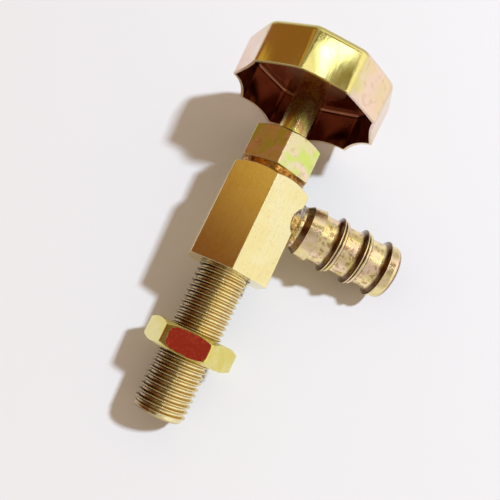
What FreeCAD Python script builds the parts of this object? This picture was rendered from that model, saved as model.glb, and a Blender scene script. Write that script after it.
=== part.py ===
"""Panel-mount gas needle valve with a barbed hose tail and a stamped handwheel.

Units are millimetres. The origin is on the valve's axis, in the plane of the hexagon's lower
shoulder, which is the face that seats on a panel. +Z runs up the stem towards the handwheel and
+X runs out along the hose tail. The valve is closed: the needle is in its seat, with only a
running gap between the two cones.
"""

import FreeCAD, Part  # FreeCAD has to be imported before Part

import math
import os

# ---------------------------------------------------------------- driving dimensions

# threads: nominal diameter and pitch
SHANK_THREAD, SHANK_PITCH = 14.0, 1.5
STEM_THREAD, STEM_PITCH = 10.0, 1.0
WHEEL_THREAD, WHEEL_PITCH = 5.0, 0.8
THREAD_ALLOWANCE = 0.07  # crests are this much under the nominal radius
CREST_SHARE = 0.125  # width of a crest's flat land as a share of the pitch
FLANK_CLEARANCE = 0.05  # added to each flank of an internal thread
PILOT_STEP = 0.1  # plain leads are this much under a thread's root
SHANK_CREST_HEIGHT = -1.453  # a crest passes here on the +X side, which sets the thread's phase
HELIX_ARCS = 8  # cubic arcs in one turn of a thread's edges

# body
BODY_FLATS = 21.0
BODY_HEIGHT = 27.4
BODY_TOP_RADIUS = 9.6
SHANK_LENGTH = 39.05
SHANK_TIP_LENGTH = 1.2
SHANK_TIP_RADIUS = 6.4
RELIEF_LENGTH = 0.5
RELIEF_RADIUS = 6.0
RECESS_DEPTH, RECESS_RADIUS = 0.25, 7.1  # the undercut in the shoulder that clears the thread
OUTLET_RADIUS = 3.0
SEAT_FLOOR = 10.0
CHAMBER_FLOOR = 13.0
CHAMBER_RADIUS = 5.2
BODY_THREAD_FLOOR = 22.0
BODY_MOUTH_RADIUS = 7.2
PORT_RADIUS = 2.5
SOCKET_RADIUS = 5.0
SOCKET_FLOOR = 7.6

# needle and seat
ORIFICE_RADIUS = 1.25
SEAT_LAND = 0.6
NEEDLE_HALF_ANGLE = math.radians(15.0)
NEEDLE_GAP = 0.05
NEEDLE_TIP_RADIUS = 0.7
NEEDLE_RADIUS = 2.5
NEEDLE_SPIGOT_RADIUS = 1.5
NEEDLE_SPIGOT_LENGTH = 5.0

# bonnet and its washer
WASHER_THICKNESS = 1.6
WASHER_RADIUS = 9.05
WASHER_HOLE_RADIUS = 7.1
BONNET_FLATS = 18.0
BONNET_TOP = 38.9
BONNET_TOP_RADIUS = 8.5
BONNET_TURN = -96.1  # where one corner of the tightened hexagon ends up, in degrees
BONNET_FOOT = 22.2
BONNET_THREAD_TOP = 30.2

# stem and its seals
STEM_RADIUS = 4.0
RUNNING_GAP = 0.05
STEM_FOOT = 19.0
STEM_FOOT_RADIUS = 3.8
STEM_THREAD_BOTTOM = 20.2
STEM_THREAD_TOP = 27.0
SEAL_HEIGHTS = {"stem_o_ring_lower": 31.5, "stem_o_ring_upper": 34.1}
SEAL_GROOVE_WIDTH = 1.9
SEAL_GROOVE_RADIUS = 2.75
SEAL_WIDTH = 1.6

# hose tail
TAIL_HEIGHT = 19.0
TAIL_BORE_RADIUS = 3.5
TAIL_BRAZE_GAP = 0.05
TAIL_ROOT_RADIUS = 5.9
TAIL_ROOT_END = 12.4
COLLAR_START, COLLAR_START_RADIUS = 14.0, 6.92
COLLAR_END, COLLAR_END_RADIUS = 17.4, 7.4
BARB_COUNT = 3
FIRST_RIDGE = 22.4
BARB_PITCH = 7.1
RIDGE_RADIUS = 7.95
RIDGE_WIDTH = 0.3
COVE_LENGTH = 1.6  # the steep hollow face from a neck up to its ridge
COVE_HOLLOW = 0.3  # how far that face is drawn in, as a share of its height
BEAD_RADIUS = 7.5
BEAD_FOOT_RADIUS = 7.15
BEAD_WIDTH = 1.2
NECK_RADIUS = 6.55
GROOVE_WIDTH = 0.3
TAIL_END = 40.3
TAIL_END_ROUND = 1.6
BRAZE_RADIUS = 7.2
BRAZE_LENGTH = 2.1
BRAZE_WRAP = 2.2  # how far the braze runs back past the flat, round the hexagon's chamfer
BRAZE_LIP = 0.15  # its thickness where it feathers out
BRAZE_HOLLOW = 0.3  # how deep its concave face is drawn in, as a share of its size

# panel nut
NUT_FLATS = 20.8
NUT_BOTTOM, NUT_TOP = -23.55, -17.25
NUT_FACE_RADIUS = 10.3
NUT_EDGE_ROUND = 0.9
NUT_TURN = -131.5
NUT_BORE_RADIUS = SHANK_THREAD / 2 + 0.05
NUT_MOUTH_RADIUS = 7.6

# handwheel
LOBE_COUNT = 10
LOBE_TURN = -2.3
RIM_HEIGHT, RIM_TIP_RADIUS, RIM_FLUTE_DEPTH = 48.9, 21.08, 1.65
WHEEL_TOP, TOP_TIP_RADIUS, TOP_FLUTE_DEPTH = 61.5, 21.4, 0.6
RIM_SCALLOP = 0.7  # how much higher the rim stands in the flutes than at the lobes' tips
SHEET = 0.8
RIM_LOBE_ROUND, TOP_LOBE_ROUND = 1.8, 5.0
BEND_RADIUS = 2.0
DISH_DEPTH = 3.0
DISH_RADIUS = 9.5
DISH_SLOPE = 1.2
SQUARE_FLATS = 5.6
SQUARE_CLEARANCE = 0.1

# handwheel fastening
FLAT_WASHER_RADIUS, FLAT_WASHER_THICKNESS = 5.0, 1.0
SPRING_WASHER_RADIUS, SPRING_WASHER_THICKNESS = 4.6, 1.2
FASTENER_HOLE_RADIUS = 2.65
SPLIT_WIDTH = 0.6
SPLIT_TILT = 25.0
WHEEL_NUT_FLATS, WHEEL_NUT_HEIGHT = 8.0, 4.7
WHEEL_NUT_FACE_RADIUS = 3.9
WHEEL_NUT_MOUTH_RADIUS = 2.8
STEM_END_STICKOUT = 0.9

EDGE_BREAK = 0.4  # small turned chamfers
HEX_CHAMFER = math.radians(30.0)
HEX_EDGE_ROUND = 0.4  # the long edges of the hexagon bar
BAR_OVERSIZE = 1.0  # of the round blank that a hexagon's chamfer is cut from

# ---------------------------------------------------------------- worked out from those

SHANK_RADIUS = SHANK_THREAD / 2 - THREAD_ALLOWANCE
BONNET_SEAT = BODY_HEIGHT + WASHER_THICKNESS
WHEEL_SEAT = WHEEL_TOP - DISH_DEPTH - SHEET
WHEEL_FLOOR = WHEEL_SEAT + SHEET
SPRING_WASHER_SEAT = WHEEL_FLOOR + FLAT_WASHER_THICKNESS
WHEEL_NUT_SEAT = SPRING_WASHER_SEAT + SPRING_WASHER_THICKNESS
STEM_END = WHEEL_NUT_SEAT + WHEEL_NUT_HEIGHT + STEM_END_STICKOUT
TAIL_ROOT = BODY_FLATS / 2

X, Z = FreeCAD.Vector(1, 0, 0), FreeCAD.Vector(0, 0, 1)
ORIGIN = FreeCAD.Vector(0, 0, 0)


# ---------------------------------------------------------------- shared shapes


def rod(radius, bottom, top):
    """A cylinder on the valve's axis between two heights."""
    return Part.makeCylinder(radius, top - bottom, Z * bottom)


def cone(bottom_radius, top_radius, bottom, top):
    """A cone on the valve's axis between two heights."""
    return Part.makeCone(bottom_radius, top_radius, top - bottom, Z * bottom)


def ring(hole_radius, outer_radius, bottom, top):
    """A flat ring on the valve's axis."""
    return rod(outer_radius, bottom, top).cut(rod(hole_radius, bottom, top))


def union(first, *others):
    """One solid from shapes that touch or overlap, with the seams between them removed."""
    return first.fuse(list(others)).removeSplitter()


def polar(radius, angle, height):
    """A point at a radius and angle round the valve's axis."""
    return FreeCAD.Vector(radius * math.cos(angle), radius * math.sin(angle), height)


def prism(corner_count, flats, bottom, top, first_corner, edge_round=0):
    """A prism whose opposite flats are the given distance apart, with its long edges rounded."""
    corner_radius = flats / 2 / math.cos(math.pi / corner_count)
    corners = []
    for index in range(corner_count + 1):
        angle = math.radians(first_corner) + 2 * math.pi * index / corner_count
        corners.append(polar(corner_radius, angle, bottom))
    solid = Part.Face(Part.makePolygon(corners)).extrude(Z * (top - bottom))
    if not edge_round:
        return solid
    long_edges = [edge for edge in solid.Edges if edge.BoundBox.ZLength > (top - bottom) / 2]
    return solid.makeFillet(edge_round, long_edges)


def chamfer_envelope(face_radius, flats, bottom, top, both_ends=False):
    """The turned blank that a hexagon is cut from: a rod coned at its top, or at both ends."""
    bar_radius = flats / 2 / math.cos(math.pi / 6) + BAR_OVERSIZE
    drop = (bar_radius - face_radius) * math.tan(HEX_CHAMFER)
    lower = bottom + drop if both_ends else bottom
    blank = union(
        rod(bar_radius, lower, top - drop),
        cone(bar_radius, face_radius, top - drop, top),
    )
    if both_ends:
        blank = union(blank, cone(face_radius, bar_radius, bottom, lower))
    return blank


def hexagon(flats, bottom, top, first_corner, face_radius, both_ends=False, edge_round=HEX_EDGE_ROUND):
    """A hexagon with the usual turned chamfer on its top corners, or on both ends."""
    blank = chamfer_envelope(face_radius, flats, bottom, top, both_ends)
    return prism(6, flats, bottom, top, first_corner, edge_round).common(blank)


def thread_depth(pitch):
    """Depth of a metric thread between its flat crests and flat roots."""
    return 5 / 8 * math.sqrt(3) / 2 * pitch


def helix(radius, pitch, start):
    """One turn of a right-handed helix from the +X side, as a smooth chain of cubic arcs."""
    span = 2 * math.pi / HELIX_ARCS
    swing = radius * 4 / 3 * math.tan(span / 4)
    rise = pitch / HELIX_ARCS
    poles = []
    for step in range(HELIX_ARCS + 1):
        point = polar(radius, step * span, start + step * rise)
        handle = polar(swing, step * span + math.pi / 2, rise / 3)
        poles += [point - handle, point + handle]
    poles[0] = polar(radius, 0, start)
    poles[-1] = polar(radius, 0, start + pitch)
    knots = list(range(HELIX_ARCS + 1))
    repeats = [4] + [2] * (HELIX_ARCS - 1) + [4]
    curve = Part.BSplineCurve()
    curve.buildFromPolesMultsKnots(poles, repeats, knots, False, 3)
    return curve.toShape()


def thread_form(root_radius, crest_radius, crest_width, pitch, crest_height, bottom, top):
    """A right-handed threaded rod. One crest crosses the +X side at crest_height.

    The crest, the root and the flanks are strips ruled between the helices that bound them. One
    turn of strips is stacked to length, closed at each end by a helical ramp and an upright step,
    and then trimmed square, which takes the ramps off.
    """
    flank = (crest_radius - root_radius) * math.tan(math.pi / 6)
    crest_start = crest_height - crest_width / 2
    start = crest_start + pitch * (math.floor((bottom - crest_start) / pitch) - 2)
    turns = math.ceil((top - start) / pitch) + 1
    profile = [
        (crest_radius, start),
        (crest_radius, start + crest_width),
        (root_radius, start + crest_width + flank),
        (root_radius, start + pitch - flank),
        (crest_radius, start + pitch),
    ]
    curves = [helix(radius, pitch, height) for radius, height in profile]
    strips = [Part.makeRuledSurface(lower, upper) for lower, upper in zip(curves, curves[1:])]

    axis = [Z * start, Z * (start + pitch)]
    edge = [polar(radius, 0, height) for radius, height in profile]
    ramp = Part.makeRuledSurface(Part.makeLine(*axis), curves[0])
    upright = Part.Face(Part.makePolygon([axis[0]] + edge + [axis[1], axis[0]]))

    faces = []
    for step in range(turns + 1):
        turn = strips if step < turns else []
        closure = [ramp, upright] if step in (0, turns) else []
        for face in turn + closure:
            copy = face.copy()
            copy.translate(Z * (step * pitch))
            faces.append(copy)
    skin = Part.makeShell(faces)
    skin.sewShape()
    return Part.makeSolid(skin).common(rod(crest_radius + pitch, bottom, top))


def outside_thread(nominal, pitch, crest_height, bottom, top):
    """A rod with an external metric thread."""
    crest = nominal / 2 - THREAD_ALLOWANCE
    root = crest - thread_depth(pitch)
    return thread_form(root, crest, CREST_SHARE * pitch, pitch, crest_height, bottom, top)


def inside_thread(nominal, pitch, crest_height, bottom, top):
    """The space inside an internal metric thread, which takes the external one with clearance."""
    root = nominal / 2 - thread_depth(pitch)
    crest = nominal / 2 + RUNNING_GAP
    crest_width = CREST_SHARE * pitch + 2 * FLANK_CLEARANCE
    return thread_form(root, crest, crest_width, pitch, crest_height, bottom, top)


def pilot_radius(nominal, pitch):
    """Radius of the plain lead ahead of an external thread, a little under its root."""
    return nominal / 2 - THREAD_ALLOWANCE - thread_depth(pitch) - PILOT_STEP


def lathe(points, axis_origin, axis):
    """Revolve an outline about an axis. A step of the outline is a point, or a (through, end)
    pair for an arc."""
    edges = []
    here = points[0]
    for step in points[1:] + points[:1]:
        if isinstance(step, tuple):
            through, end = step
            edges.append(Part.Arc(here, through, end).toShape())
        else:
            end = step
            edges.append(Part.makeLine(here, end))
        here = end
    return Part.Face(Part.Wire(edges)).revolve(axis_origin, axis, 360)


# ---------------------------------------------------------------- body group


def valve_body():
    """Hexagon bar turned down to the threaded shank, with the seat and the inlet chamber."""
    tip_top = -SHANK_LENGTH + SHANK_TIP_LENGTH
    tip_bottom = -SHANK_LENGTH + EDGE_BREAK
    blank = union(
        hexagon(BODY_FLATS, 0, BODY_HEIGHT, 30, BODY_TOP_RADIUS),
        rod(RELIEF_RADIUS, -RELIEF_LENGTH, 0),
        outside_thread(SHANK_THREAD, SHANK_PITCH, SHANK_CREST_HEIGHT, tip_top, -RELIEF_LENGTH),
        rod(SHANK_TIP_RADIUS, tip_bottom, tip_top),
        cone(SHANK_TIP_RADIUS - EDGE_BREAK, SHANK_TIP_RADIUS, -SHANK_LENGTH, tip_bottom),
    )
    seat_top_radius = ORIFICE_RADIUS + SEAT_LAND * math.tan(NEEDLE_HALF_ANGLE)
    hollows = [
        ring(RELIEF_RADIUS, RECESS_RADIUS, 0, RECESS_DEPTH),
        rod(OUTLET_RADIUS, -SHANK_LENGTH, SEAT_FLOOR),
        cone(OUTLET_RADIUS + EDGE_BREAK, OUTLET_RADIUS, -SHANK_LENGTH, tip_bottom),
        rod(ORIFICE_RADIUS, SEAT_FLOOR, CHAMBER_FLOOR),
        cone(ORIFICE_RADIUS, seat_top_radius, CHAMBER_FLOOR - SEAT_LAND, CHAMBER_FLOOR),
        rod(CHAMBER_RADIUS, CHAMBER_FLOOR, BODY_THREAD_FLOOR),
        inside_thread(SHANK_THREAD, SHANK_PITCH, BODY_THREAD_FLOOR, BODY_THREAD_FLOOR, BODY_HEIGHT),
        rod(BODY_MOUTH_RADIUS, BODY_HEIGHT - EDGE_BREAK, BODY_HEIGHT),
        Part.makeCylinder(PORT_RADIUS, SOCKET_FLOOR, Z * TAIL_HEIGHT, X),
        Part.makeCylinder(SOCKET_RADIUS, BODY_FLATS, Z * TAIL_HEIGHT + X * SOCKET_FLOOR, X),
    ]
    return blank.cut(hollows)


def bonnet():
    """The hexagonal gland that screws into the body and carries the stem's thread and seals."""
    thread_top = BONNET_SEAT - RELIEF_LENGTH
    pilot_top = BONNET_FOOT + EDGE_BREAK
    blank = union(
        hexagon(BONNET_FLATS, BONNET_SEAT, BONNET_TOP, BONNET_TURN, BONNET_TOP_RADIUS),
        rod(RELIEF_RADIUS, thread_top, BONNET_SEAT),
        outside_thread(SHANK_THREAD, SHANK_PITCH, BODY_THREAD_FLOOR, pilot_top, thread_top),
        rod(pilot_radius(SHANK_THREAD, SHANK_PITCH), BONNET_FOOT, pilot_top),
    )
    guide = STEM_RADIUS + RUNNING_GAP
    relief = STEM_THREAD / 2 + 2 * RUNNING_GAP
    bores = [
        inside_thread(STEM_THREAD, STEM_PITCH, STEM_THREAD_BOTTOM, BONNET_FOOT, BONNET_THREAD_TOP),
        rod(relief, BONNET_THREAD_TOP - STEM_PITCH, BONNET_THREAD_TOP),
        rod(guide, BONNET_THREAD_TOP, BONNET_TOP),
        cone(guide, guide + EDGE_BREAK, BONNET_TOP - EDGE_BREAK, BONNET_TOP),
    ]
    return blank.cut(bores)


def bonnet_washer():
    """Copper sealing washer between the body and the bonnet."""
    return ring(WASHER_HOLE_RADIUS, WASHER_RADIUS, BODY_HEIGHT, BONNET_SEAT)


def tail_point(station, radius):
    """A point of the hose tail's outline, in the plane through both axes."""
    return FreeCAD.Vector(station, 0, TAIL_HEIGHT + radius)


def barb_outline(ridge):
    """One barb: a straight neck, a hollow face up to a sharp ridge, a groove and a round bead."""
    barb_length = RIDGE_WIDTH + GROOVE_WIDTH + BEAD_WIDTH
    previous_end = ridge - BARB_PITCH + barb_length
    neck_start = max(previous_end, COLLAR_END)
    cove_middle = ridge - COVE_LENGTH * (1 - 2 * COVE_HOLLOW)
    cove_radius = NECK_RADIUS + COVE_HOLLOW * (RIDGE_RADIUS - NECK_RADIUS)
    bead_start = ridge + RIDGE_WIDTH + GROOVE_WIDTH
    bead_end = ridge + barb_length
    return [
        tail_point(neck_start, NECK_RADIUS),
        tail_point(ridge - COVE_LENGTH, NECK_RADIUS),
        (tail_point(cove_middle, cove_radius), tail_point(ridge, RIDGE_RADIUS)),
        tail_point(ridge + RIDGE_WIDTH, RIDGE_RADIUS),
        tail_point(bead_start, BEAD_FOOT_RADIUS),
        (tail_point((bead_start + bead_end) / 2, BEAD_RADIUS), tail_point(bead_end, BEAD_FOOT_RADIUS)),
    ]


def hose_tail():
    """Barbed tail for a gas hose, turned in one piece with the spigot that is brazed in."""
    spigot = SOCKET_RADIUS - TAIL_BRAZE_GAP
    outline = [
        tail_point(SOCKET_FLOOR, TAIL_BORE_RADIUS),
        tail_point(SOCKET_FLOOR, spigot),
        tail_point(TAIL_ROOT, spigot),
        tail_point(TAIL_ROOT, TAIL_ROOT_RADIUS),
        tail_point(TAIL_ROOT_END, TAIL_ROOT_RADIUS),
        tail_point(COLLAR_START, COLLAR_START_RADIUS),
        tail_point(COLLAR_END, COLLAR_END_RADIUS),
    ]
    for index in range(BARB_COUNT):
        outline += barb_outline(FIRST_RIDGE + index * BARB_PITCH)
    end_radius = BEAD_RADIUS - TAIL_END_ROUND
    round_start = TAIL_END - TAIL_END_ROUND
    bulge = TAIL_END_ROUND * math.sin(math.pi / 4)
    outline[-1:] = [
        tail_point(round_start, BEAD_RADIUS),
        (tail_point(round_start + bulge, end_radius + bulge), tail_point(TAIL_END, end_radius)),
        tail_point(TAIL_END, TAIL_BORE_RADIUS + EDGE_BREAK),
        tail_point(TAIL_END - EDGE_BREAK, TAIL_BORE_RADIUS),
    ]
    return lathe(outline, Z * TAIL_HEIGHT, X)


def braze_fillet(body, tail):
    """The brazing alloy that wets the hexagon's flat and the root of the hose tail."""
    middle_radius = TAIL_ROOT_RADIUS + BRAZE_HOLLOW * (BRAZE_RADIUS - TAIL_ROOT_RADIUS)
    middle = tail_point(TAIL_ROOT + BRAZE_HOLLOW * BRAZE_LENGTH, middle_radius)
    outline = [
        tail_point(TAIL_ROOT - BRAZE_WRAP, TAIL_ROOT_RADIUS),
        tail_point(TAIL_ROOT - BRAZE_WRAP, BRAZE_RADIUS),
        tail_point(TAIL_ROOT + BRAZE_LIP, BRAZE_RADIUS),
        (middle, tail_point(TAIL_ROOT + BRAZE_LENGTH, TAIL_ROOT_RADIUS + BRAZE_LIP)),
        tail_point(TAIL_ROOT + BRAZE_LENGTH, TAIL_ROOT_RADIUS),
    ]
    return lathe(outline, Z * TAIL_HEIGHT, X).cut([body, tail])


# ---------------------------------------------------------------- stem group


def needle():
    """The point that closes the orifice, with the spigot that is pressed into the stem."""
    slope = math.tan(NEEDLE_HALF_ANGLE)
    seat_radius = ORIFICE_RADIUS - NEEDLE_GAP / math.cos(NEEDLE_HALF_ANGLE)
    seat_height = CHAMBER_FLOOR - SEAT_LAND
    tip = seat_height - (seat_radius - NEEDLE_TIP_RADIUS) / slope
    shoulder = seat_height + (NEEDLE_RADIUS - seat_radius) / slope
    return union(
        cone(NEEDLE_TIP_RADIUS, NEEDLE_RADIUS, tip, shoulder),
        rod(NEEDLE_RADIUS, shoulder, STEM_FOOT),
        rod(NEEDLE_SPIGOT_RADIUS, STEM_FOOT, STEM_FOOT + NEEDLE_SPIGOT_LENGTH),
    )


def stem():
    """The spindle: thread at its foot, seal grooves, square for the wheel and a threaded end."""
    square_top = WHEEL_FLOOR - 2 * RUNNING_GAP
    square = prism(4, SQUARE_FLATS, WHEEL_SEAT, square_top, 45)
    thread_bottom = STEM_THREAD_BOTTOM
    blank = union(
        rod(STEM_FOOT_RADIUS, STEM_FOOT, thread_bottom),
        outside_thread(STEM_THREAD, STEM_PITCH, thread_bottom, thread_bottom, STEM_THREAD_TOP),
        rod(STEM_RADIUS, STEM_THREAD_TOP, WHEEL_SEAT),
        square.common(rod(STEM_RADIUS, WHEEL_SEAT, square_top)),
        outside_thread(WHEEL_THREAD, WHEEL_PITCH, WHEEL_NUT_SEAT, square_top, STEM_END - EDGE_BREAK),
        rod(pilot_radius(WHEEL_THREAD, WHEEL_PITCH), STEM_END - EDGE_BREAK, STEM_END),
    )
    groove_outside = STEM_RADIUS + EDGE_BREAK
    cuts = []
    for height in SEAL_HEIGHTS.values():
        groove_bottom = height - SEAL_GROOVE_WIDTH / 2
        groove_top = height + SEAL_GROOVE_WIDTH / 2
        cuts.append(ring(SEAL_GROOVE_RADIUS, groove_outside, groove_bottom, groove_top))
    spigot_hole = NEEDLE_SPIGOT_LENGTH + 2 * EDGE_BREAK
    cuts.append(rod(NEEDLE_SPIGOT_RADIUS, STEM_FOOT, STEM_FOOT + spigot_hole))
    return blank.cut(cuts)


def stem_seal(height):
    """A seal ring as it sits squeezed in its groove: flat inside and out, round at its ends."""
    inner = SEAL_GROOVE_RADIUS + RUNNING_GAP
    outer = STEM_RADIUS
    middle = (inner + outer) / 2
    bottom, top = height - SEAL_WIDTH / 2, height + SEAL_WIDTH / 2
    shoulder = (outer - inner) / 2
    outline = [
        FreeCAD.Vector(inner, 0, bottom + shoulder),
        (FreeCAD.Vector(middle, 0, bottom), FreeCAD.Vector(outer, 0, bottom + shoulder)),
        FreeCAD.Vector(outer, 0, top - shoulder),
        (FreeCAD.Vector(middle, 0, top), FreeCAD.Vector(inner, 0, top - shoulder)),
    ]
    return lathe(outline, ORIGIN, Z)


def lobed_outline(tip_radius, valley_radius, lobe_round, height):
    """The handwheel's plan: flutes between rounded lobes, all tangent arcs. A deep flute is hollow
    and a shallow one bulges a little."""
    half_step = math.pi / LOBE_COUNT
    lobe_centre = tip_radius - lobe_round
    reach = lobe_centre * math.cos(half_step)
    # radius that makes the flute's arc touch both neighbouring lobes; it is negative for a bulge
    spare = lobe_round**2 - valley_radius**2 - lobe_centre**2 + 2 * valley_radius * reach
    flute_round = spare / (2 * (valley_radius - reach - lobe_round))
    flute_centre = valley_radius + flute_round

    def touch(lobe_angle, flute_angle):
        centre = polar(lobe_centre, lobe_angle, height)
        towards = polar(flute_centre, flute_angle, height) - centre
        return centre + towards * (lobe_round / (lobe_round + flute_round))

    edges = []
    for index in range(LOBE_COUNT):
        lobe = math.radians(LOBE_TURN) + 2 * half_step * index
        before = touch(lobe, lobe - half_step)
        after = touch(lobe, lobe + half_step)
        arrive = touch(lobe + 2 * half_step, lobe + half_step)
        edges.append(Part.Arc(before, polar(tip_radius, lobe, height), after).toShape())
        edges.append(Part.Arc(after, polar(valley_radius, lobe + half_step, height), arrive).toShape())
    return Part.Wire(edges)


def lobed_cup(inset):
    """The solid inside the handwheel's skin, set in from the outer surface by the inset."""
    outlines = []
    for height, tip_radius, flute_depth, lobe_round in (
        (RIM_HEIGHT, RIM_TIP_RADIUS, RIM_FLUTE_DEPTH, RIM_LOBE_ROUND),
        (WHEEL_TOP - inset, TOP_TIP_RADIUS, TOP_FLUTE_DEPTH, TOP_LOBE_ROUND),
    ):
        valley_radius = tip_radius - flute_depth - inset
        outlines.append(lobed_outline(tip_radius - inset, valley_radius, lobe_round - inset, height))
    cup = Part.makeLoft(outlines, True, True)
    top = max(vertex.Z for vertex in cup.Vertexes)
    bend = [edge for edge in cup.Edges if min(vertex.Z for vertex in edge.Vertexes) > top - 0.001]
    return cup.makeFillet(BEND_RADIUS - inset, bend)


def rim_scallops():
    """Ten radial rods that arch the rim upwards in the flutes."""
    half_width = RIM_TIP_RADIUS * math.sin(math.pi / LOBE_COUNT)
    arch = (half_width**2 + RIM_SCALLOP**2) / (2 * RIM_SCALLOP)
    rods = []
    for index in range(LOBE_COUNT):
        angle = math.radians(LOBE_TURN) + 2 * math.pi * (index + 0.5) / LOBE_COUNT
        start = polar(RIM_TIP_RADIUS / 2, angle, RIM_HEIGHT + RIM_SCALLOP - arch)
        rods.append(Part.makeCylinder(arch, RIM_TIP_RADIUS, start, polar(1, angle, 0)))
    return rods


def handwheel():
    """Ten-lobed wheel stamped from sheet, open underneath, with a dished centre."""
    skin = lobed_cup(0).cut(lobed_cup(SHEET)).cut(rim_scallops())
    dish_top = WHEEL_TOP - SHEET
    dish_outside = cone(DISH_RADIUS - DISH_SLOPE + SHEET, DISH_RADIUS + SHEET, WHEEL_SEAT, dish_top)
    dish_inside = cone(DISH_RADIUS - DISH_SLOPE, DISH_RADIUS, WHEEL_FLOOR, WHEEL_TOP)
    hole = prism(4, SQUARE_FLATS + SQUARE_CLEARANCE, WHEEL_SEAT - SHEET, WHEEL_TOP, 45)
    return union(skin, dish_outside).cut([dish_inside, hole])


def wheel_washer():
    """Flat washer on the handwheel's dished floor."""
    return ring(FASTENER_HOLE_RADIUS, FLAT_WASHER_RADIUS, WHEEL_FLOOR, SPRING_WASHER_SEAT)


def wheel_spring_washer():
    """Split spring washer, pressed flat."""
    washer = ring(FASTENER_HOLE_RADIUS, SPRING_WASHER_RADIUS, SPRING_WASHER_SEAT, WHEEL_NUT_SEAT)
    tall = 4 * SPRING_WASHER_THICKNESS
    split = Part.makeBox(SPRING_WASHER_RADIUS, SPLIT_WIDTH, tall)
    split.translate(FreeCAD.Vector(0, -SPLIT_WIDTH / 2, -tall / 2))
    split.rotate(ORIGIN, X, SPLIT_TILT)
    split.translate(Z * (SPRING_WASHER_SEAT + SPRING_WASHER_THICKNESS / 2))
    return washer.cut(split)


def countersinks(bore_radius, mouth_radius, bottom, top):
    """The two cones that open a nut's ends."""
    depth = mouth_radius - bore_radius
    return [
        cone(mouth_radius, bore_radius, bottom, bottom + depth),
        cone(bore_radius, mouth_radius, top - depth, top),
    ]


def wheel_nut():
    """Nut that clamps the handwheel to the stem's square."""
    bottom = WHEEL_NUT_SEAT
    top = bottom + WHEEL_NUT_HEIGHT
    blank = hexagon(WHEEL_NUT_FLATS, bottom, top, 0, WHEEL_NUT_FACE_RADIUS, both_ends=True)
    threaded = blank.cut(inside_thread(WHEEL_THREAD, WHEEL_PITCH, bottom, bottom, top))
    cone_foot = WHEEL_THREAD / 2 - EDGE_BREAK
    return threaded.cut(countersinks(cone_foot, WHEEL_NUT_MOUTH_RADIUS, bottom, top))


def panel_nut():
    """Nut that clamps the panel against the body's shoulder. Its bore clears the thread's crests."""
    bottom, top = NUT_BOTTOM, NUT_TOP
    blank = hexagon(NUT_FLATS, bottom, top, NUT_TURN, NUT_FACE_RADIUS, True, NUT_EDGE_ROUND)
    bore = rod(NUT_BORE_RADIUS, bottom, top)
    return blank.cut([bore] + countersinks(NUT_BORE_RADIUS, NUT_MOUTH_RADIUS, bottom, top))


# ---------------------------------------------------------------- the assembly


def main():
    body = valve_body()
    tail = hose_tail()
    nodes = {
        "valve_body": body,
        "hose_tail": tail,
        "braze_fillet": braze_fillet(body, tail),
        "bonnet": bonnet(),
        "bonnet_washer": bonnet_washer(),
        "panel_nut": panel_nut(),
        "stem": stem(),
        "needle": needle(),
        "handwheel": handwheel(),
        "wheel_washer": wheel_washer(),
        "wheel_spring_washer": wheel_spring_washer(),
        "wheel_nut": wheel_nut(),
    }
    for name, height in SEAL_HEIGHTS.items():
        nodes[name] = stem_seal(height)

    os.makedirs("parts", exist_ok=True)
    for name, shape in nodes.items():
        solids = shape.Solids
        print(name, round(shape.Volume, 1), "mm3")
        assert len(solids) == 1 and shape.isValid(), name
        solids[0].exportStep(f"parts/{name}.step")


main()
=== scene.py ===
"""Looks for the needle valve: yellow-passivated zinc, copper, braze and rubber, lying on a pale table."""

import math

import bpy
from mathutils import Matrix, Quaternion, Vector


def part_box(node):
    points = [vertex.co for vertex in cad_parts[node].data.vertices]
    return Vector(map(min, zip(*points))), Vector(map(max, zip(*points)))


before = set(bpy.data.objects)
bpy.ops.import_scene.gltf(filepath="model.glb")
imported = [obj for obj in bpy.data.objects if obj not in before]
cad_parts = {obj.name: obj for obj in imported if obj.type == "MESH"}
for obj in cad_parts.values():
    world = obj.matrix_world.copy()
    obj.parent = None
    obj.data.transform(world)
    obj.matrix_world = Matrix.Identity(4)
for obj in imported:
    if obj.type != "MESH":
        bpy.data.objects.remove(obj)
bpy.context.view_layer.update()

MM = 0.001

# ---------------------------------------------------------------- the view

VIEW_AIM = Vector((3.4, -0.4, 7.8)) * MM
VIEW_AZIMUTH = math.radians(-7.46)
VIEW_ELEVATION = math.radians(-9.15)
VIEW_ROLL = math.radians(25.53)
VIEW_DISTANCE = 149.6 * MM
LENS, SENSOR = 41.47, 36.0  # millimetres
NEAREST_SEEN = 10 * MM

# ---------------------------------------------------------------- the finish

EDGE_WEAR_AND_HIGHLIGHT = 0.6  # how far an edge goes to a pale colour: worn bare metal, partly a painted highlight
COAT_ROUGHNESS = 0.18  # of the clear film over the metal
BRUSH_SQUEEZE = 0.04  # how much slower a brushed pattern changes along the brush
SWEEP = 0.15  # how fast a turned pattern changes round the axis
TAIL_EDGE_RADIUS = 0.35  # millimetres of painted shade along the edge on the far side of each ridge
LACQUER_REACH = 0.17  # half the lacquer's length, as a share of the nut's diagonal
LACQUER_HEIGHT = 0.93  # the lacquer's height, as a share of the nut's
LACQUER_SQUARENESS = 3.5  # 2 would be an oval
LUMP_GRAIN, LUMP_HEIGHT = 1.2 * MM, 0.35 * MM  # of the braze
VOXELS_PER_LUMP = 8

# ---------------------------------------------------------------- the table and the lamps

# The valve lies on its side: the table touches the tail, a corner of the panel nut and the wheel.
TABLE_NORMAL = Vector((-0.236, -0.961, 0.144)).normalized()
TABLE_SIZE = 3.0

KEY_DIRECTION = Vector((0.28, -0.85, 0.44)).normalized()
KEY_COLOUR = (0.95, 1.07, 1.21)
BACK_DIRECTION = Vector((0.25, 0.85, 0.45)).normalized()
BACK_COLOUR = (1.0, 0.98, 0.95)


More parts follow.
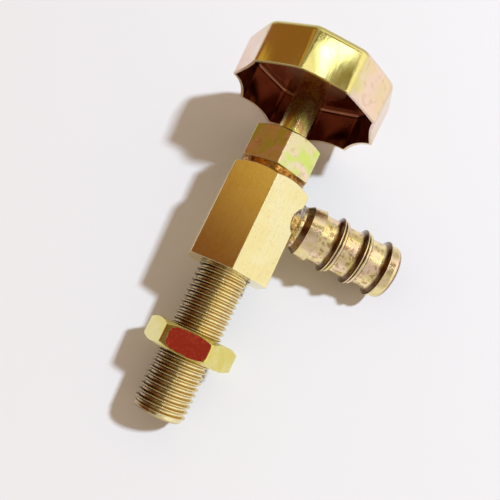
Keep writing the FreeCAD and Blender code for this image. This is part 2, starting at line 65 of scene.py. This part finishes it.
def look(azimuth, elevation):
    """The direction from the valve towards a place round it; azimuth 0 is its front, -Y."""
    flat = math.cos(elevation)
    return Vector((math.sin(azimuth) * flat, -math.cos(azimuth) * flat, math.sin(elevation)))


PAINTED_LIGHT_SIDE = look(1.0, 0.0)  # the side of the shank that is painted in light; the side away from it is painted in shade
PAINTED_REFLECTION_SIDE = look(-0.35, 1.2)  # the side of the wheel, facing the camera, where an olive reflection is painted on


# ---------------------------------------------------------------- node trees


def tint(red, green, blue):
    """A colour given as it looks on a screen, 0 to 255, for a node's socket."""
    levels = [(value / 255) ** 2.2 for value in (red, green, blue)]
    return (*levels, 1.0)


class Graph:
    """A node tree that is written as formulas: each call adds a node and returns its output."""

    def __init__(self, owner):
        owner.use_nodes = True
        self.tree = owner.node_tree
        self.tree.nodes.clear()

    def node(self, kind, *values, named=None, **settings):
        """Add a node with its settings, and its inputs given in order or by name."""
        node = self.tree.nodes.new("ShaderNode" + kind)
        for key, value in settings.items():
            setattr(node, key, value)
        pairs = list(zip(node.inputs, values))
        pairs += [(node.inputs[key], value) for key, value in (named or {}).items()]
        for socket, value in pairs:
            self.feed(socket, value)
        return node

    def feed(self, socket, value):
        """Link another node's output to the socket, or set it to a plain value."""
        if isinstance(value, bpy.types.NodeSocket):
            self.tree.links.new(value, socket)
        else:
            socket.default_value = value

    def math(self, operation, first, second=0.0):
        return self.node("Math", first, second, operation=operation).outputs[0]

    def vector(self, operation, first, second=(0.0, 0.0, 0.0)):
        return self.node("VectorMath", first, second, operation=operation).outputs["Vector"]

    def dot(self, first, second):
        return self.node("VectorMath", first, second, operation="DOT_PRODUCT").outputs["Value"]

    def rise(self, value, low, high):
        """0 where the value is under low, 1 where it is over high, with a smooth step between."""
        node = self.node("MapRange", value, low, high, 0.0, 1.0, interpolation_type="SMOOTHSTEP")
        return node.outputs[0]

    def blend(self, share, first, second):
        """The first colour where share is 0, the second where it is 1."""
        node = self.node("Mix", data_type="RGBA")
        for index, value in ((0, share), (6, first), (7, second)):
            self.feed(node.inputs[index], value)
        return node.outputs[2]

    def lerp(self, share, first, second):
        """The same for plain numbers."""
        return self.node("MapRange", share, 0.0, 1.0, first, second).outputs[0]

    def times(self, first, second):
        """A product, which joins two masks or makes one weaker."""
        return self.math("MULTIPLY", first, second)

    def noise(self, place, scale, detail, roughness, distortion=0.0):
        inputs = {
            "Vector": place,
            "Scale": scale,
            "Detail": detail,
            "Roughness": roughness,
            "Distortion": distortion,
        }
        return self.node("TexNoise", named=inputs).outputs[0]

    def face_normal(self):
        return self.node("NewGeometry").outputs["True Normal"]

    def rounded_normal(self, radius):
        """The normal as if every edge were rounded to this radius, in millimetres."""
        return self.node("Bevel", radius * MM, samples=6).outputs[0]


# ---------------------------------------------------------------- metal


def place_in_mm(graph):
    """Position on the piece, in the valve's own frame, so that the pattern moves with the piece."""
    here = graph.node("TexCoord").outputs["Object"]
    return graph.vector("MULTIPLY", here, (1 / MM, 1 / MM, 1 / MM))


def brushed(graph, place):
    """The place squeezed along the valve's axis, which draws noise out into brush lines."""
    return graph.vector("MULTIPLY", place, (1.0, 1.0, BRUSH_SQUEEZE))


def height_of(graph, place):
    return graph.node("SeparateXYZ", place).outputs[2]


def round_valve_axis(graph, place):
    """Where a place is along the valve's axis, and its two distances from it."""
    x, y, z = graph.node("SeparateXYZ", place).outputs
    return z, x, y


def round_tail_axis(graph, place):
    """Where a place is along the hose tail's axis, and its two distances from it."""
    x, y, z = graph.node("SeparateXYZ", place).outputs
    return x, y, graph.math("SUBTRACT", z, axis_of_tail())


def distance(graph, first, second):
    return graph.math("SQRT", graph.math("ADD", graph.times(first, first), graph.times(second, second)))


def turned(graph, along, first, second):
    """A place that changes little round a turned part's axis, which draws noise into rings."""
    sweep = graph.times(graph.math("ARCTAN2", first, second), SWEEP)
    return graph.node("CombineXYZ", distance(graph, first, second), along, sweep).outputs[0]


def film(graph, place, gold, rose, deep, patch, mottle, darkening=0.3):
    """Passivation colour: gold that drifts to rose in patches and to a deeper tone in mottling."""
    drift = graph.rise(graph.noise(place, patch, 2.0, 0.5, 0.6), 0.42, 0.62)
    cloud = graph.rise(graph.noise(place, mottle, 6.0, 0.68), 0.5, 0.75)
    speck = graph.rise(graph.noise(place, 5.5 * mottle, 3.0, 0.6), 0.62, 0.74)
    colour = graph.blend(drift, gold, rose)
    colour = graph.blend(graph.times(cloud, darkening), colour, deep)
    return graph.blend(graph.times(speck, darkening), colour, deep)


def metal_surface(graph, colour, roughness, height, depth=0.012, edge=0.25, metallic=1.0, coat=0.25):
    """Close a metal: rounded edges, paler where worn and with a painted highlight, a bump, and a thin
    clear film over the metal.
    """
    rounded = graph.rounded_normal(edge)
    turn = graph.math("SUBTRACT", 1.0, graph.dot(rounded, graph.face_normal()))
    # Paler edges: worn bare metal, and partly a painted highlight.
    rubbed_and_highlit = graph.rise(turn, 0.01, 0.12)
    colour = graph.blend(graph.times(rubbed_and_highlit, EDGE_WEAR_AND_HIGHLIGHT), colour, tint(255, 240, 190))
    bump_inputs = {"Strength": 1.0, "Distance": depth * MM, "Height": height, "Normal": rounded}
    bump = graph.node("Bump", named=bump_inputs).outputs[0]
    inputs = {
        "Base Color": colour,
        "Metallic": metallic,
        "Roughness": roughness,
        "Normal": bump,
        "Coat Weight": coat,
        "Coat Roughness": COAT_ROUGHNESS,
    }
    surface = graph.node("BsdfPrincipled", named=inputs)
    graph.node("OutputMaterial", surface.outputs[0])


def new_graph(name):
    material = bpy.data.materials.new(name)
    return material, Graph(material)


def flank_of_thread(graph):
    """1 on faces that lean along the valve's axis, as a thread's flanks do."""
    lean = graph.math("ABSOLUTE", graph.dot(graph.face_normal(), (0.0, 0.0, 1.0)))
    return graph.rise(lean, 0.3, 0.8)


def body_zinc():
    """The bar-stock body: drawn lines along the flats, and painted shade and light on the shank: brown on
    one side, its thread flanks dark there and pale on the other side.
    """
    material, graph = new_graph("body_zinc")
    place = place_in_mm(graph)
    gold, rose, deep = tint(243, 231, 182), tint(241, 226, 166), tint(190, 132, 62)
    colour = film(graph, place, gold, rose, deep, patch=0.09, mottle=1.1, darkening=0.2)
    drawn = graph.noise(brushed(graph, place), 5.0, 4.0, 0.65)
    lines = graph.rise(drawn, 0.46, 0.66)
    colour = graph.blend(graph.times(lines, 0.12), colour, tint(196, 148, 80))
    on_shank = graph.rise(graph.times(height_of(graph, place), -1.0), 0.05, 0.1)
    flank = graph.times(flank_of_thread(graph), on_shank)
    # Painted shade and painted light: the shank brown on one side, its thread flanks dark there and pale
    # on the other side.
    painted_light_share = graph.rise(graph.dot(place, tuple(PAINTED_LIGHT_SIDE)), -2.5, 5.0)
    painted_flank_light_and_shade = graph.blend(painted_light_share, tint(58, 28, 12), tint(206, 176, 104))
    painted_shade_share = graph.times(on_shank, graph.math("SUBTRACT", 1.0, painted_light_share))
    colour = graph.blend(graph.times(painted_shade_share, 0.75), colour, tint(136, 92, 52))
    colour = graph.blend(graph.times(flank, 0.85), colour, painted_flank_light_and_shade)
    rings = graph.noise(turned(graph, *round_valve_axis(graph, place)), 6.0, 3.0, 0.6)
    grain = graph.lerp(on_shank, drawn, rings)
    roughness = graph.lerp(graph.noise(place, 1.6, 5.0, 0.6), 0.14, 0.28)
    metal_surface(graph, colour, roughness, grain, depth=0.006)
    return material


def tail_zinc():
    """The hose tail: pale rosy gold, with purple-brown painted shade on the faces that look back at the
    body and along the far edge of each ridge.
    """
    material, graph = new_graph("tail_zinc")
    place = place_in_mm(graph)
    gold, rose, deep = tint(248, 230, 170), tint(244, 216, 184), tint(182, 108, 54)
    colour = film(graph, place, gold, rose, deep, patch=0.22, mottle=0.8, darkening=0.45)
    lime = graph.rise(graph.noise(place, 0.3, 2.0, 0.5, 0.4), 0.5, 0.66)
    colour = graph.blend(graph.times(lime, 0.5), colour, tint(222, 206, 96))
    along, first, second = round_tail_axis(graph, place)
    # Darker orange-brown in noisy patches where the tail is narrowest, on its necks.
    low = graph.rise(graph.times(distance(graph, first, second), -1.0), -6.9, -6.5)
    darkening = graph.times(low, graph.rise(graph.noise(place, 0.7, 4.0, 0.6), 0.5, 0.6))
    colour = graph.blend(graph.times(darkening, 0.6), colour, tint(150, 76, 36))
    # Painted shade: dark purple-brown on the steep faces that look back at the body.
    steep = graph.rise(graph.dot(graph.face_normal(), (-1.0, 0.0, 0.0)), 0.25, 0.6)
    colour = graph.blend(graph.times(steep, 0.88), colour, tint(84, 38, 20))
    # Painted shade: a dark line on the faces and rounded edges that look away from the body.
    rounded = graph.rounded_normal(TAIL_EDGE_RADIUS)
    painted_far_edge_shade = graph.rise(graph.dot(rounded, (1.0, 0.0, 0.0)), 0.25, 0.6)
    colour = graph.blend(graph.times(painted_far_edge_shade, 0.8), colour, tint(112, 58, 30))
    rings = graph.noise(turned(graph, along, first, second), 5.0, 4.0, 0.6)
    roughness = graph.lerp(graph.noise(place, 1.4, 5.0, 0.6), 0.14, 0.36)
    metal_surface(graph, colour, roughness, rings, depth=0.02, edge=0.12)
    return material


def bonnet_zinc():
    """The gland: rose, olive and lime film over milled flats."""
    material, graph = new_graph("bonnet_zinc")
    place = place_in_mm(graph)
    gold, rose, deep = tint(226, 216, 164), tint(236, 214, 192), tint(160, 92, 66)
    colour = film(graph, place, gold, rose, deep, patch=0.17, mottle=0.5, darkening=0.5)
    lime = graph.rise(graph.noise(place, 0.16, 2.0, 0.5, 0.4), 0.46, 0.62)
    colour = graph.blend(graph.times(lime, 0.75), colour, tint(200, 226, 98))
    drawn = graph.noise(brushed(graph, place), 4.0, 4.0, 0.6)
    roughness = graph.lerp(graph.noise(place, 1.6, 5.0, 0.6), 0.2, 0.4)
    metal_surface(graph, colour, roughness, drawn)
    return material


def lacquer_patch(graph, place):
    """1 inside the sealing lacquer: one flat of the panel nut, with round ends and a ragged border."""
    low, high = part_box("panel_nut")
    facing_out = lacquered_flat()
    along = Vector((0.0, 0.0, 1.0)).cross(facing_out)
    half_height = (high.z - low.z) / 2 / MM
    middle = (high.z + low.z) / 2 / MM
    half_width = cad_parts["panel_nut"].dimensions.length / MM * LACQUER_REACH
    sideways = graph.math("DIVIDE", graph.dot(place, tuple(along)), half_width)
    above_middle = graph.math("SUBTRACT", height_of(graph, place), middle)
    upwards = graph.math("DIVIDE", above_middle, half_height * LACQUER_HEIGHT)
    across, up = (
        graph.math("POWER", graph.math("ABSOLUTE", reach), LACQUER_SQUARENESS)
        for reach in (sideways, upwards)
    )
    roughened = graph.times(graph.noise(place, 1.3, 4.0, 0.6), 0.9)
    ragged = graph.math("ADD", graph.math("ADD", across, up), roughened)
    inside = graph.rise(graph.times(ragged, -1.0), -1.36, -1.28)
    facing = graph.dot(graph.face_normal(), tuple(facing_out))
    return graph.times(inside, graph.rise(facing, 0.9, 0.96))


def nut_zinc():
    """The panel nut: pale yellow, with brick-red sealing lacquer over one flat."""
    material, graph = new_graph("nut_zinc")
    place = place_in_mm(graph)
    gold, pale, deep = tint(228, 214, 112), tint(234, 222, 142), tint(196, 164, 64)
    colour = film(graph, place, gold, pale, deep, patch=0.15, mottle=0.7)
    lacquer = lacquer_patch(graph, place)
    streaks = graph.rise(graph.noise(place, 1.1, 6.0, 0.75, 1.0), 0.5, 0.66)
    red = graph.blend(graph.times(streaks, 0.45), tint(140, 33, 12), tint(186, 84, 56))
    colour = graph.blend(lacquer, colour, red)
    roughness = graph.lerp(lacquer, 0.24, 0.42)
    drawn = graph.noise(place, 3.0, 5.0, 0.6)
    metallic = graph.lerp(lacquer, 1.0, 0.1)
    metal_surface(graph, colour, roughness, drawn, depth=0.02, metallic=metallic)
    return material


def wheel_zinc():
    """The stamped wheel: bright rose gold outside with an olive painted reflection on its front, and
    painted shade, a dark maroon, in the hollow.
    """
    material, graph = new_graph("wheel_zinc")
    place = place_in_mm(graph)
    gold, rose, deep = tint(234, 208, 172), tint(238, 208, 190), tint(172, 122, 78)
    colour = film(graph, place, gold, rose, deep, patch=0.07, mottle=0.5, darkening=0.4)
    # Painted reflection: an olive tone on the front of the wheel, the side that faces the camera.
    front = graph.dot(graph.vector("NORMALIZE", place), tuple(PAINTED_REFLECTION_SIDE))
    drifting = graph.math("ADD", front, graph.times(graph.noise(place, 0.12, 3.0, 0.5, 0.5), 0.08))
    olive = graph.rise(drifting, 0.995, 1.025)
    colour = graph.blend(graph.times(olive, 0.8), colour, tint(216, 208, 116))
    # Painted shade: a blotchy dark maroon inside the hollow.
    inward = graph.rise(hollow_side(graph, place), 0.1, 0.3)
    painted_hollow_shade = graph.blend(graph.noise(place, 0.3, 4.0, 0.6), tint(106, 54, 34), tint(168, 98, 60))
    colour = graph.blend(graph.times(inward, 0.93), colour, painted_hollow_shade)
    drawn = graph.noise(brushed(graph, place), 2.2, 5.0, 0.6)
    roughness = graph.lerp(graph.noise(place, 0.9, 5.0, 0.6), 0.1, 0.26)
    metal_surface(graph, colour, roughness, drawn, depth=0.015)
    return material


def hollow_side(graph, place):
    """How far a face of the wheel looks inwards, or down above its rim, as only its inside does."""
    normal = graph.face_normal()
    outward = graph.vector("NORMALIZE", graph.vector("MULTIPLY", place, (1.0, 1.0, 0.0)))
    towards_axis = graph.times(graph.dot(normal, outward), -1.0)
    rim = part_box("handwheel")[0].z / MM
    above_rim = graph.rise(height_of(graph, place), rim + 1.5, rim + 2.5)
    downwards = graph.times(graph.dot(normal, (0.0, 0.0, -1.0)), above_rim)
    return graph.math("MAXIMUM", towards_axis, downwards)


def stem_steel():
    """The stem: turned and plated, with brown stains."""
    material, graph = new_graph("stem_steel")
    place = place_in_mm(graph)
    gold, brown, deep = tint(226, 212, 120), tint(212, 168, 110), tint(120, 74, 40)
    colour = film(graph, place, gold, brown, deep, patch=0.3, mottle=1.2)
    rings = graph.noise(turned(graph, *round_valve_axis(graph, place)), 7.0, 3.0, 0.6)
    roughness = graph.lerp(graph.noise(place, 2.0, 4.0, 0.6), 0.18, 0.4)
    metal_surface(graph, colour, roughness, rings)
    return material


def plain_metal(name, light, dark, rough_low, rough_high):
    """A small metal piece with clouded colour and a fine grain."""
    material, graph = new_graph(name)
    place = place_in_mm(graph)
    cloud = graph.rise(graph.noise(place, 0.9, 5.0, 0.6), 0.4, 0.65)
    colour = graph.blend(cloud, light, dark)
    roughness = graph.lerp(graph.noise(place, 2.0, 4.0, 0.6), rough_low, rough_high)
    metal_surface(graph, colour, roughness, graph.noise(place, 6.0, 4.0, 0.6), depth=0.01, coat=0.1)
    return material


def braze():
    """Braze: a brassy bead, under a dull grey crust of flux on its upper side, both burnt in spots."""
    material, graph = new_graph("braze")
    place = place_in_mm(graph)
    flux = graph.rise(height_of(graph, place), axis_of_tail(), axis_of_tail() + 2.0)
    burnt = graph.rise(graph.noise(place, 0.7, 5.0, 0.65), 0.52, 0.6)
    bead = graph.blend(burnt, tint(226, 190, 112), tint(120, 70, 34))
    crust = graph.blend(burnt, tint(178, 168, 156), tint(96, 62, 52))
    colour = graph.blend(flux, bead, crust)
    roughness = graph.lerp(flux, 0.24, 0.5)
    metallic = graph.lerp(flux, 1.0, 0.35)
    grain = graph.noise(place, 1.8, 6.0, 0.6)
    metal_surface(graph, colour, roughness, grain, depth=0.2, metallic=metallic)
    return material


def rubber():
    """Black nitrile seal with a dusty bloom."""
    material, graph = new_graph("seal_rubber")
    place = place_in_mm(graph)
    bloom = graph.rise(graph.noise(place, 1.5, 5.0, 0.6), 0.4, 0.7)
    colour = graph.blend(bloom, tint(22, 22, 24), tint(52, 50, 50))
    roughness = graph.lerp(bloom, 0.42, 0.65)
    grain = graph.noise(place, 9.0, 4.0, 0.6)
    metal_surface(graph, colour, roughness, grain, depth=0.01, metallic=0.0, coat=0.0)
    return material


def axis_of_tail():
    """Height of the hose tail's axis, in millimetres."""
    low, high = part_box("hose_tail")
    return (low.z + high.z) / 2 / MM


def lacquered_flat():
    """Direction of the panel nut's flat that faces the front."""
    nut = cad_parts["panel_nut"].data
    front = look(VIEW_AZIMUTH, 0.0)
    flats = [face.normal for face in nut.polygons if abs(face.normal.z) < 0.01]
    return max(flats, key=lambda normal: normal.dot(front)).copy()


# ---------------------------------------------------------------- table, lights and camera


def table():
    """A pale sheet that the valve lies on. It is clear from behind, and to the light of the lamps."""
    reach = min(
        TABLE_NORMAL.dot(vertex.co)
        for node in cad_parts.values()
        for vertex in node.data.vertices
    )
    mesh = bpy.data.meshes.new("table")
    side = TABLE_NORMAL.orthogonal().normalized()
    other = TABLE_NORMAL.cross(side)
    centre = TABLE_NORMAL * reach
    corners = []
    for u, v in ((-1, -1), (1, -1), (1, 1), (-1, 1)):
        corners.append(centre + (side * u + other * v) * TABLE_SIZE / 2)
    mesh.from_pydata(corners, [], [(0, 1, 2, 3)])
    sheet = bpy.data.objects.new("table", mesh)
    bpy.context.scene.collection.objects.link(sheet)

    material, graph = new_graph("table_sheet")
    place = graph.node("TexCoord").outputs["Object"]
    shade = graph.noise(place, 3.0, 3.0, 0.5)
    colour = graph.blend(shade, tint(236, 238, 242), tint(244, 244, 246))
    sheet_surface = graph.node("BsdfDiffuse", colour).outputs[0]
    clear = graph.node("BsdfTransparent").outputs[0]
    rays = graph.node("LightPath").outputs
    back_side = graph.node("NewGeometry").outputs["Backfacing"]
    seen_from_behind = graph.times(rays["Is Camera Ray"], back_side)
    share = graph.math("MAXIMUM", rays["Is Shadow Ray"], seen_from_behind)
    mixed = graph.node("MixShader", share, sheet_surface, clear).outputs[0]
    graph.node("OutputMaterial", mixed)
    mesh.materials.append(material)


def lamp(name, direction, distance, size, power, colour):
    """A square soft lamp that looks at the valve. The metal mirrors only the room, not the lamp."""
    light = bpy.data.lights.new(name, "AREA")
    light.shape = "SQUARE"
    light.size = size
    light.energy = power
    light.color = colour
    holder = bpy.data.objects.new(name, light)
    holder.location = VIEW_AIM + direction * distance
    holder.rotation_mode = "QUATERNION"
    holder.rotation_quaternion = (-direction).to_track_quat("-Z", "Y")
    holder.visible_glossy = False
    bpy.context.scene.collection.objects.link(holder)


# What the metal mirrors besides the table, later over earlier. For each: azimuth, elevation, the
# angles from its middle where it starts to fade and is gone, all in degrees, colour and strength.
ROOM = {
    "open side": (66, 8, 30, 48, tint(255, 254, 246), 1.06),
    "bright shelf": (20, 34, 14, 34, tint(255, 250, 236), 1.35),
    "ceiling": (-3, 25, 10, 17, tint(146, 132, 84), 1.0),
    "photographer": (-22, -4, 11, 21, tint(140, 116, 70), 0.5),
    "left wall": (-66, 14, 26, 46, tint(150, 104, 60), 1.0),
    "left glow": (-50, 19, 3, 13, tint(222, 184, 98), 1.0),
    "left corner": (-58, -7, 12, 24, tint(110, 60, 32), 1.0),
    "window": (4.5, 18.5, 1, 4, tint(236, 246, 255), 11.0),
}


def room():
    """The room: pale where it is seen or lights things, and shaped where the metal reflects it."""
    world = bpy.data.worlds.new("room")
    bpy.context.scene.world = world
    graph = Graph(world)
    towards = graph.node("TexCoord").outputs["Generated"]
    reflected = tint(206, 202, 196)
    for azimuth, elevation, inner, outer, colour, strength in ROOM.values():
        centre = look(math.radians(azimuth), math.radians(elevation))
        nearness = graph.dot(towards, centre)
        share = graph.rise(nearness, math.cos(math.radians(outer)), math.cos(math.radians(inner)))
        lit = tuple(channel * strength for channel in colour[:3]) + (1.0,)
        reflected = graph.blend(share, reflected, lit)
    rays = graph.node("LightPath").outputs
    colour = graph.blend(rays["Is Camera Ray"], tint(179, 158, 136), tint(238, 240, 244))
    colour = graph.blend(rays["Is Glossy Ray"], colour, reflected)
    background = graph.node("Background", colour).outputs[0]
    graph.node("OutputWorld", background)


def camera():
    """The camera, rolled so that the valve lies aslant in the picture."""
    back = look(VIEW_AZIMUTH, VIEW_ELEVATION)
    lens = bpy.data.cameras.new("camera")
    lens.lens = LENS
    lens.sensor_width = SENSOR
    lens.clip_start = NEAREST_SEEN
    holder = bpy.data.objects.new("camera", lens)
    holder.location = VIEW_AIM + back * VIEW_DISTANCE
    holder.rotation_mode = "QUATERNION"
    upright = (-back).to_track_quat("-Z", "Y")
    holder.rotation_quaternion = upright @ Quaternion((0.0, 0.0, 1.0), VIEW_ROLL)
    bpy.context.scene.collection.objects.link(holder)
    bpy.context.scene.camera = holder


# ---------------------------------------------------------------- dress the frame


def lumpy(node, grain, height):
    """Swell and sink a node's surface in soft lumps, as a blob of braze has."""
    evenly = node.modifiers.new("evenly", "REMESH")
    evenly.mode = "VOXEL"
    evenly.voxel_size = grain / VOXELS_PER_LUMP
    lumps = bpy.data.textures.new("lumps", "CLOUDS")
    lumps.noise_scale = grain
    swell = node.modifiers.new("swell", "DISPLACE")
    swell.texture = lumps
    swell.texture_coords = "LOCAL"
    swell.strength = height
    swell.mid_level = 0.55


def dress(material, *nodes):
    """Give one material to some of the frame's nodes."""
    for name in nodes:
        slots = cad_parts[name].data.materials
        slots.clear()
        slots.append(material)


dress(body_zinc(), "valve_body")
dress(tail_zinc(), "hose_tail")
dress(bonnet_zinc(), "bonnet")
dress(nut_zinc(), "panel_nut")
dress(wheel_zinc(), "handwheel")
dress(stem_steel(), "stem")
dress(braze(), "braze_fillet")
dress(rubber(), "stem_o_ring_lower", "stem_o_ring_upper")
copper = plain_metal("copper", tint(190, 134, 62), tint(92, 46, 26), 0.15, 0.3)
dress(copper, "bonnet_washer")
needle_steel = plain_metal("needle_steel", tint(205, 205, 208), tint(150, 150, 155), 0.15, 0.3)
dress(needle_steel, "needle")
fastener_zinc = plain_metal("fastener_zinc", tint(214, 204, 160), tint(170, 160, 120), 0.2, 0.4)
dress(fastener_zinc, "wheel_washer", "wheel_spring_washer", "wheel_nut")

lumpy(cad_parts["braze_fillet"], LUMP_GRAIN, LUMP_HEIGHT)

table()
lamp("key", KEY_DIRECTION, distance=1.8, size=0.13, power=23.5, colour=KEY_COLOUR)
lamp("back", BACK_DIRECTION, distance=0.7, size=0.5, power=2.0, colour=BACK_COLOUR)
room()
camera()
bpy.context.scene.view_settings.view_transform = "Standard"
